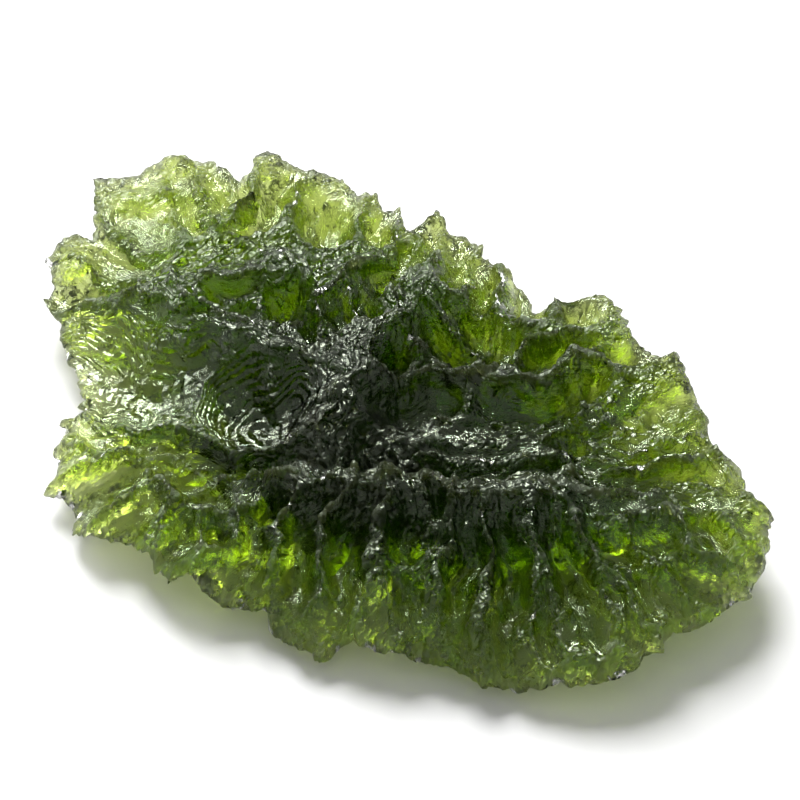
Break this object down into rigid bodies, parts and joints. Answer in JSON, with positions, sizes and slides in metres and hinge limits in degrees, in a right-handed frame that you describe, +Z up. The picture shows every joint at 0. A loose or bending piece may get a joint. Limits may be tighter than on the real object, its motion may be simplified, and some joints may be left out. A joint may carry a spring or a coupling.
{
  "type": "moldavite",
  "caption": "Leaf-shaped piece of natural green glass, etched on both faces into furrows and bowls, with a thin toothed rim and a small flat spot to rest on.",
  "frame": {"origin": "on the surface the stone lies on, under the middle of its box", "axes": "+X along the stone's length, towards the end that holds the thick east tip; +Y across it, towards the higher side of the rim; +Z up"},
  "size_m": [0.0492, 0.031, 0.0089],
  "materials": {
    "moldavite_glass": "natural etched green glass, see-through, glossy in the furrows and finely pitted on the crests"
  },
  "bodies": {
    "root": {"moldavite": "moldavite_glass"}
  },
  "joints": []
}
